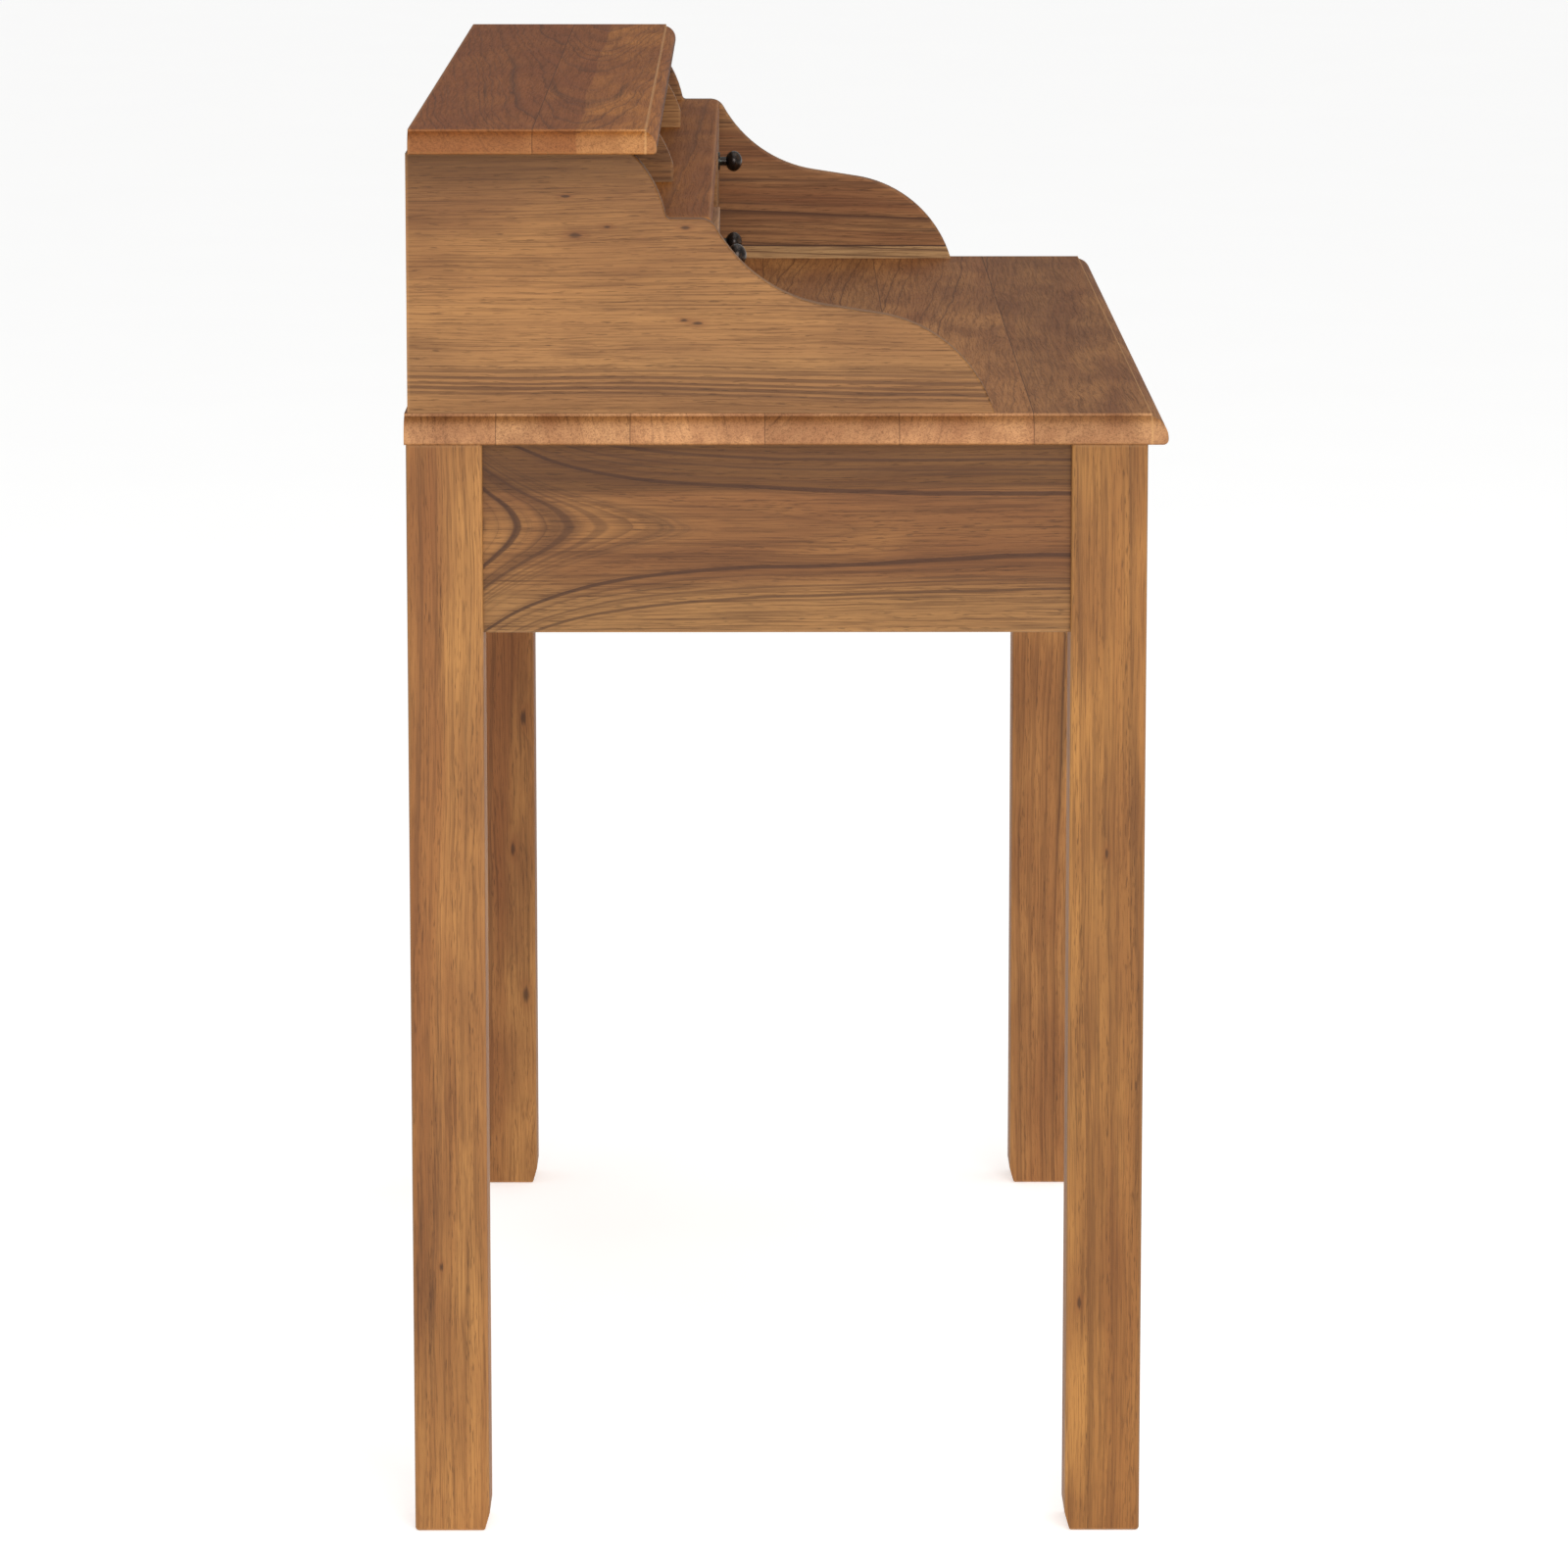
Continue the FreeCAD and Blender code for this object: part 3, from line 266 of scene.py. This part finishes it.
def growth_rings(g, figure, radius):
    """The darkness of the latewood, and the season in which each point grew, from 0 to 1."""
    years = g.math("DIVIDE", radius, figure.pitch)
    uneven = g.noise(g.vector(g.math("MULTIPLY", years, 0.31), figure.seed, 0.0), 1.0, 2.0)
    years = g.math("ADD", years, g.math("MULTIPLY", uneven, 3.0))
    season = g.math("FRACT", years)
    weather = g.random(g.math("ADD", g.math("FLOOR", years), figure.seed * 7.0))
    late = g.ramp(season, (0.0, 0.9), (0.05, 0.2), (0.3, 0.0), (0.72, 0.12), (0.92, 0.7), (1.0, 1.0))
    boldness = g.math("ADD", g.math("POWER", weather, 2.5), 0.28)
    return g.math("MULTIPLY", late, boldness), season


def shell_noise(g, radius, along, offset, rate, detail, roughness):
    """Noise that is drawn out along the grain and follows the rings."""
    wide, long = rate
    place = g.vector(g.math("MULTIPLY", radius, wide), g.math("MULTIPLY", along, long), offset)
    return g.noise(place, 1.0, detail, roughness)


def teak(name, figure):
    """A board of teak. Its rings are shells round the tree's heart, so every face shows its own cut."""
    g = Graph("teak_" + name)
    across, through, along, arris = board_coordinates(g, name, figure)
    board_across, board_along = across, along
    if figure.stave:
        across, through, along, tone, glue = staves(g, figure, across, through, along)

    seeded = g.math("ADD", along, figure.seed * 3.7)
    bend = g.axes(g.noise(scaled(g, across, through, seeded, BEND_RATE), 1.0, 3.0, 0.45, output=1))
    ripple = g.axes(g.noise(scaled(g, across, through, seeded, RIPPLE_RATE), 1.0, 2.0, 0.5, output=1))

    def bent(value, axis):
        slow = g.swing(bend[axis], figure.warp * 2)
        quick = g.swing(ripple[axis], figure.warp * 0.22)
        return g.math("ADD", value, g.math("ADD", slow, quick))

    bent_across, bent_through = bent(across, 0), bent(through, 1)
    radius = distance_from_heart(g, figure, bent_across, bent_through, along)
    knot_distances = [knot_distance(g, board_across, board_along, knot) for knot in figure.knots]
    for distance, knot in zip(knot_distances, figure.knots):
        radius = swollen(g, radius, distance, knot)

    ring, season = growth_rings(g, figure, radius)
    if figure.end_tint:
        facing = g.axes(g.add("ShaderNodeTexCoord", output=1))[ACROSS[figure.grain][2]]
        end = g.step(g.math("ABSOLUTE", facing), 0.5, 0.9)
        ring = g.math("MULTIPLY", ring, g.math("SUBTRACT", 1.0, g.math("MULTIPLY", end, 0.72)))
    streak = g.step(shell_noise(g, radius, seeded, figure.seed, STREAK_RATE, 6.0, 0.70), 0.54, 0.70)
    band = g.step(shell_noise(g, radius, seeded, figure.seed + 5.0, BROAD_BAND_RATE, 4.0, 0.58), 0.40, 0.64)

    def fibres(rate, detail, roughness=0.6):
        return g.noise(scaled(g, bent_across, bent_through, seeded, rate), 1.0, detail, roughness)

    coarse = fibres(COARSE_FIBRE_RATE, 3.0, 0.65)
    fine = fibres(FINE_FIBRE_RATE, 2.0)
    fibre = g.math("ADD", g.math("MULTIPLY", coarse, 0.5), g.math("MULTIPLY", fine, 0.5))
    pores = g.step(fibres(PORE_RATE, 1.0), 0.58, 0.70)
    early = g.step(season, 0.65, 0.15)
    pore = g.math("MULTIPLY", pores, g.affine(early, 0.6, 0.4))
    cloud = fibres(CLOUD_RATE, 3.0, 0.5)
    haze = fibres(HAZE_RATE, 2.0, 0.5)

    color = g.mix(g.step(cloud, 0.32, 0.70), TAN, GOLD)
    color = g.mix(g.math("MULTIPLY", band, figure.redness), color, RUSSET)
    for axis, edge, softness, amount, shade in figure.bands:
        place_in_board = bent_across if axis == 0 else bent_through
        inside = g.step(place_in_board, edge - softness, edge + softness)
        color = g.mix(g.math("MULTIPLY", inside, amount), color, shade)
    color = g.mix(g.math("MULTIPLY", ring, figure.rings), color, LATEWOOD)
    color = g.mix(g.math("MULTIPLY", g.step(coarse, 0.46, 0.66), 0.48 * figure.crisp), color, LATEWOOD)
    color = g.mix(g.math("MULTIPLY", g.step(fine, 0.48, 0.70), 0.55 * figure.crisp), color, LATEWOOD)
    color = g.mix(g.math("MULTIPLY", streak, figure.streaks), color, STREAK)
    for centre, width, amount in figure.shells:
        off_centre = g.math("ABSOLUTE", g.math("SUBTRACT", radius, centre))
        frayed = g.math("SUBTRACT", 1.6, g.math("MULTIPLY", fibre, 1.3))
        dark = g.math("MULTIPLY", g.step(off_centre, width, width * 0.4), g.math("MULTIPLY", frayed, amount))
        color = g.mix(dark, color, UMBER)
    color = g.mix(g.math("MULTIPLY", pore, 0.5), color, PORE)
    for distance in knot_distances:
        ragged = g.math("ADD", distance, g.swing(fibre, 3.2))
        color = g.mix(g.math("MULTIPLY", g.step(ragged, 3.2, 0.8), 0.35), color, RUSSET)
        color = g.mix(g.math("MULTIPLY", g.step(ragged, 1.3, 0.4), 0.7), color, KNOT)

    value = g.affine(haze, 0.55 * figure.mottle, 1.0 - 0.28 * figure.mottle)
    if figure.stave:
        value = g.math("MULTIPLY", value, tone)
        color = g.mix(g.math("MULTIPLY", glue, 0.65), color, GLUE_LINE)
    tinted = g.vector(*(g.math("MULTIPLY", value, channel) for channel in figure.tint))
    # The faces across the grain take end_tint; where it is lighter than tint, the top and long faces are
    # darker as painted shade.
    if figure.end_tint:
        tinted_end = g.vector(*(g.math("MULTIPLY", value, channel) for channel in figure.end_tint))
        tinted = g.mix(end, tinted, tinted_end)
    color = g.mix(1.0, color, tinted, "MULTIPLY")
    # The arrises are lightened towards ARRIS: partly wear, partly painted highlight along the edges.
    worn_and_highlit_edge = g.math("MULTIPLY", g.step(arris, ARRIS_WIDTH, ARRIS_CORE), g.step(fibre, 0.25, 0.6))
    color = g.mix(g.math("MULTIPLY", worn_and_highlit_edge, 0.25), color, ARRIS)
    # A thin line of painted highlight along the moulding's quirk, behind the front edge.
    if figure.light_line:
        low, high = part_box(name)
        front = (low[1] - high[1]) / 2
        off_line = g.math("ABSOLUTE", g.math("SUBTRACT", board_across, front + figure.light_line))
        line = g.step(off_line, LIGHT_LINE_WIDTH, LIGHT_LINE_CORE)
        color = g.mix(g.math("MULTIPLY", line, 0.5), color, ARRIS)

    roughness = g.affine(fibre, 0.22, 0.48)
    roughness = g.math("SUBTRACT", roughness, g.math("MULTIPLY", worn_and_highlit_edge, 0.08))
    height = g.math("SUBTRACT", g.math("MULTIPLY", fibre, 0.5), g.math("MULTIPLY", pore, 0.7))
    height = g.math("SUBTRACT", height, g.math("MULTIPLY", ring, 0.25))
    if figure.stave:
        height = g.math("SUBTRACT", height, g.math("MULTIPLY", glue, 0.8))
    return g.finish(color, roughness, height, figure.relief * MM, Specular_IOR_Level=figure.gloss)


def bronze(name):
    """Cast bronze, nearly black, worn brown on its crown and green-grey where dust stays."""
    g = Graph("bronze_" + name)
    low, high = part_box(name)
    place = g.add("ShaderNodeTexCoord", output=3)
    worn = g.noise(place, 260.0, 4.0, 0.6)
    pitted = g.noise(place, 1500.0, 3.0, 0.6)
    reach = g.math("SUBTRACT", g.axes(place)[1], low[1])
    crown = g.math("MULTIPLY", g.step(reach, 9 * MM, 2 * MM), g.step(worn, 0.42, 0.68))
    crevice = g.math("MULTIPLY", g.step(reach, 11 * MM, 15 * MM), g.step(worn, 0.38, 0.62))
    color = g.mix(g.step(pitted, 0.35, 0.7), linear(34, 30, 29), linear(54, 46, 42))
    color = g.mix(g.math("MULTIPLY", crown, 0.45), color, linear(116, 88, 62))
    color = g.mix(g.math("MULTIPLY", crevice, 0.5), color, linear(84, 92, 84))
    roughness = g.affine(pitted, 0.2, 0.17)
    return g.finish(color, roughness, pitted, 0.08 * MM, Metallic=0.75)


def steel(name):
    """Zinc-plated steel with a faint spangle."""
    g = Graph("steel_" + name)
    place = g.add("ShaderNodeTexCoord", output=3)
    spangle = g.noise(place, 700.0, 3.0, 0.6)
    color = g.mix(spangle, linear(150, 152, 156), linear(196, 198, 202))
    roughness = g.affine(spangle, 0.2, 0.25)
    return g.finish(color, roughness, spangle, 0.03 * MM, Metallic=1.0)


# Tints scale each board's colour. On the desktop, hutch top and shelf the tint is darker than the end tint:
# painted shade on their top and long faces.
TOP = (0.88, 0.78, 0.73)
TOP_END = (1.23, 1.28, 1.70)
HUTCH_TOP = (1.01, 0.75, 0.41)
HUTCH_TOP_END = (1.16, 1.10, 1.16)
SHELF = (0.90, 0.67, 0.34)
SHELF_END = (1.15, 1.00, 0.90)
NEAR_SIDE = (0.72, 0.67, 0.62)
SIDE = (0.96, 0.94, 0.95)
APRON = (0.67, 0.61, 0.53)
BACK_LEG = (0.99, 0.93, 0.77)
FRONT_LEG = (0.89, 0.82, 0.60)
FAR_LEG = (1.08, 1.04, 0.92)
DARK = (1.00, 0.99, 1.08)
RAW = (1.45, 1.60, 1.85)
PLY = (1.5, 1.65, 1.8)
BEECH = (1.7, 2.0, 2.5)

FIGURES = {
    "desktop": Figure("x", 3.1, pitch=0.0055, heart=(0.0, 0.03), taper=0.05, warp=0.022, stave=0.088,
                      stave_shift=0.25, tint=TOP, end_tint=TOP_END, stave_contrast=0.2, rings=0.75,
                      streaks=0.25, mottle=0.6, crisp=0.75, gloss=0.12, light_line=0.0106),
    "hutch_top": Figure("x", 8.4, pitch=0.0050, heart=(0.0, 0.03), taper=0.045, warp=0.018, stave=0.081,
                        stave_shift=0.081, tint=HUTCH_TOP, end_tint=HUTCH_TOP_END, rings=0.8, streaks=0.45,
                        mottle=0.6, stave_contrast=0.1, crisp=0.75, gloss=0.12, light_line=0.0074,
                        bands=((0, 0.0, 0.0008, 0.62, RUSSET),)),
    "hutch_side_left": Figure("y", 1.3, pitch=0.0042, heart=(-0.24, 0.07), taper=0.012, warp=0.009,
                              streaks=0.15, tint=NEAR_SIDE, rings=0.32, redness=0.35, crisp=0.8,
                              # The OLIVE band darkens the top of the panel: partly a dark streak, partly
                              # painted shade under the hutch top.
                              bands=((0, 0.066, 0.014, 0.62, OLIVE), (0, -0.010, -0.045, 0.26, SAPWOOD),
                                     (0, -0.058, -0.008, 0.24, RUSSET)),
                              shells=((0.2010, 0.0008, 0.30), (0.1975, 0.0010, 0.40),
                                      (0.1935, 0.0015, 0.50), (0.1898, 0.0011, 0.50),
                                      (0.1868, 0.0016, 0.60), (0.1835, 0.0011, 0.50)),
                              knots=((0.032, 0.082, 0.0017), (0.037, 0.061, 0.0011),
                                     (0.0365, 0.010, 0.0012), (-0.024, 0.011, 0.0011),
                                     (-0.026, 0.002, 0.0013), (0.057, 0.088, 0.0010))),
    "hutch_side_right": Figure("y", 6.2, pitch=0.0065, heart=(-0.26, 0.05), taper=0.035, warp=0.008,
                               streaks=0.85, tint=DARK, rings=1.0, redness=0.8,
                               bands=((0, -0.0722, -0.0003, 0.85, STREAK),
                                      (0, -0.0734, -0.0003, 0.80, SAPWOOD))),
    "hutch_shelf": Figure("x", 2.7, pitch=0.007, heart=(0.1, 0.12), tint=SHELF, end_tint=SHELF_END,
                          rings=0.5, streaks=0.25, mottle=0.6, crisp=0.7, gloss=0.12),
    "apron_left": Figure("y", 4.6, pitch=0.0085, heart=(0.007, 0.010), taper=0.015,
                         flare=(0.055, 0.052, 0.215), warp=0.008, tint=APRON, rings=0.6, streaks=0.45,
                         redness=0.4,
                         # The OLIVE band darkens the top of the apron: partly the figure above its dark
                         # ring, partly painted shade under the desktop.
                         bands=((0, 0.032, 0.003, 0.62, OLIVE), (0, -0.032, -0.014, 0.34, SAPWOOD)),
                         shells=((0.0325, 0.0015, 0.80), (0.0052, 0.0040, 0.42), (0.0062, 0.0012, 0.50),
                                 (0.0105, 0.0010, 0.40), (-0.0060, 0.0018, 0.75), (-0.0200, 0.0018, 0.60),
                                 (0.0500, 0.0013, 0.65), (0.0440, 0.0008, 0.45), (0.0150, 0.0010, 0.30))),
    "apron_right": Figure("y", 5.9, pitch=0.008, heart=(0.02, 0.05), taper=0.03, tint=APRON, rings=0.8,
                          streaks=0.6),
    "apron_back": Figure("x", 7.7, pitch=0.008, heart=(0.01, 0.06), taper=0.02, tint=APRON, rings=0.7,
                         streaks=0.6),
    "leg_back_left": Figure("z", 9.1, pitch=0.012, heart=(0.09, 0.02), taper=0.012, warp=0.012,
                            tint=BACK_LEG, rings=0.4, streaks=0.35, redness=0.6, crisp=0.8,
                            knots=((0.006, -0.185, 0.0012),)),
    "leg_front_left": Figure("z", 10.3, pitch=0.011, heart=(-0.08, 0.04), taper=0.01, warp=0.008,
                             tint=FRONT_LEG, rings=0.35, streaks=0.3, redness=0.5, crisp=0.8,
                             knots=((0.0, 0.095, 0.0016), (0.016, -0.21, 0.0016))),
    "leg_back_right": Figure("z", 11.8, pitch=0.008, heart=(0.05, 0.08), taper=0.012, warp=0.016,
                             tint=FAR_LEG, rings=0.5, streaks=0.35, redness=0.8, crisp=0.8,
                             knots=((-0.016, 0.018, 0.0026), (-0.017, -0.21, 0.0028),
                                    (-0.007, -0.09, 0.0020))),
    "leg_front_right": Figure("z", 12.4, pitch=0.009, heart=(0.09, 0.03), taper=0.01, tint=FAR_LEG,
                              rings=0.6, streaks=0.45, crisp=0.8),
}
DEFAULT_FIGURES = {
    "rail": Figure("x", 13.0, pitch=0.007, heart=(0.02, 0.09), tint=SIDE, rings=0.5, streaks=0.45),
    "stile": Figure("z", 14.0, pitch=0.007, heart=(0.03, 0.08), tint=SIDE, rings=0.5, streaks=0.4),
    "upright": Figure("y", 15.0, pitch=0.007, heart=(0.02, 0.15), tint=(1.0, 0.98, 1.0), rings=0.5,
                      streaks=0.4),
    "front": Figure("x", 16.0, pitch=0.008, heart=(0.01, 0.045), taper=0.03, tint=(1.0, 0.98, 1.0),
                    rings=0.7, streaks=0.55),
    "inner": Figure("y", 17.0, pitch=0.006, heart=(0.02, 0.1), tint=RAW, rings=0.4, streaks=0.25,
                    redness=0.2),
    "inner_back": Figure("x", 18.0, pitch=0.006, heart=(0.02, 0.1), tint=RAW, rings=0.4, streaks=0.25,
                         redness=0.2),
    "plywood": Figure("x", 19.0, pitch=0.012, heart=(0.02, 0.25), taper=0.05, tint=PLY, rings=0.4,
                      streaks=0.2, redness=0.25),
    "beech": Figure("z", 20.0, pitch=0.003, heart=(0.02, 0.1), tint=BEECH, rings=0.2, streaks=0.0,
                    redness=0.0),
}
KIND_BY_ENDING = {
    "rail_lower": "rail", "rail_upper": "rail", "hutch_rail_left": "rail", "hutch_rail_right": "rail",
    "drawer_stile": "stile", "hutch_partition_left": "upright", "hutch_partition_right": "upright",
    "hutch_divider_left": "upright", "hutch_divider_right": "upright", "runner_left": "inner",
    "runner_middle": "inner", "runner_right": "inner", "kickers": "inner", "hutch_back": "plywood",
    "dowels": "beech", "_front": "front", "_sides": "inner", "_back": "inner_back", "_bottom": "plywood",
}


def figure_of(name, order):
    """The figure of a node: its own, or its kind's with a seed that makes it a different board."""
    if name in FIGURES:
        return FIGURES[name]
    for ending, kind in KIND_BY_ENDING.items():
        if name.endswith(ending):
            common = DEFAULT_FIGURES[kind]
            return Figure(**{**common.__dict__, "seed": common.seed + 0.618 * order})
    raise ValueError(f"{name} has no figure")


def finish_nodes():
    for order, (name, node) in enumerate(sorted(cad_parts.items())):
        if name.endswith("_knob"):
            material = bronze(name)
        elif name == "desktop_screws":
            material = steel(name)
        else:
            material = teak(name, figure_of(name, order))
        if not node.material_slots:
            node.data.materials.append(material)
        for slot in node.material_slots:
            slot.material = material


FLOOR_RADIUS = 60.0
FLOOR_GLOW = 0.52
ROOM_LIGHT = 0.46
# Each softbox: its place, the point it faces, its two sides in metres and its power in watts.
SOFTBOXES = {
    "key": ((-4.6, -0.7, 2.3), (0.0, 0.0, 0.5), (3.0, 2.6), 140.0),
    "overhead": ((0.0, -0.6, 3.6), (0.0, 0.0, 0.6), (3.0, 2.4), 25.0),
}


def softbox(name, place, target, size, power):
    lamp = bpy.data.lights.new(name, "AREA")
    lamp.shape = "RECTANGLE"
    lamp.size, lamp.size_y = size
    lamp.energy = power
    box = bpy.data.objects.new(name, lamp)
    box.location = place
    box.rotation_mode = "QUATERNION"
    box.rotation_quaternion = (Vector(target) - Vector(place)).to_track_quat("-Z", "Y")
    bpy.context.scene.collection.objects.link(box)


def studio():
    """A pale floor without an edge in view, a large soft light on the camera's side, and a white room."""
    mesh = bpy.data.meshes.new("floor")
    ground = bmesh.new()
    bmesh.ops.create_circle(ground, cap_ends=True, radius=FLOOR_RADIUS, segments=64)
    ground.to_mesh(mesh)
    ground.free()
    floor = bpy.data.objects.new("floor", mesh)
    floor.location.z = -0.0005
    bpy.context.scene.collection.objects.link(floor)
    g = Graph("floor")
    place = g.add("ShaderNodeTexCoord", output=3)
    faint = g.noise(place, 3.0, 2.0)
    color = g.mix(faint, linear(244, 244, 243), linear(248, 248, 247))
    glow = {"Emission Color": (1.0, 1.0, 1.0, 1.0), "Emission Strength": FLOOR_GLOW}
    g.add_output(g.add("ShaderNodeBsdfPrincipled", {"Base Color": color, "Roughness": 0.9, **glow}))
    mesh.materials.append(g.material)

    world = bpy.data.worlds.new("studio")
    world.use_nodes = True
    background = world.node_tree.nodes["Background"]
    background.inputs["Color"].default_value = (1.0, 1.0, 1.0, 1.0)
    background.inputs["Strength"].default_value = ROOM_LIGHT
    bpy.context.scene.world = world

    for name, settings in SOFTBOXES.items():
        softbox(name, *settings)


def photograph_camera():
    """A long lens beyond the desk's left side, a little above its hutch, aimed slightly down."""
    lens, sensor = 161.99, 36.0
    place = Vector((-5.1313, 0.0197, 1.2956))
    down, turn = 0.169885, 0.003981
    aim = Vector((math.cos(down) * math.cos(turn), -math.cos(down) * math.sin(turn), -math.sin(down)))
    data = bpy.data.cameras.new("camera")
    data.lens = lens
    data.sensor_width = sensor
    data.clip_end = 200.0
    camera = bpy.data.objects.new("camera", data)
    camera.location = place
    camera.rotation_mode = "QUATERNION"
    camera.rotation_quaternion = aim.to_track_quat("-Z", "Y")
    bpy.context.scene.collection.objects.link(camera)
    bpy.context.scene.camera = camera


bpy.context.scene.view_settings.view_transform = "Standard"
finish_nodes()
studio()
photograph_camera()
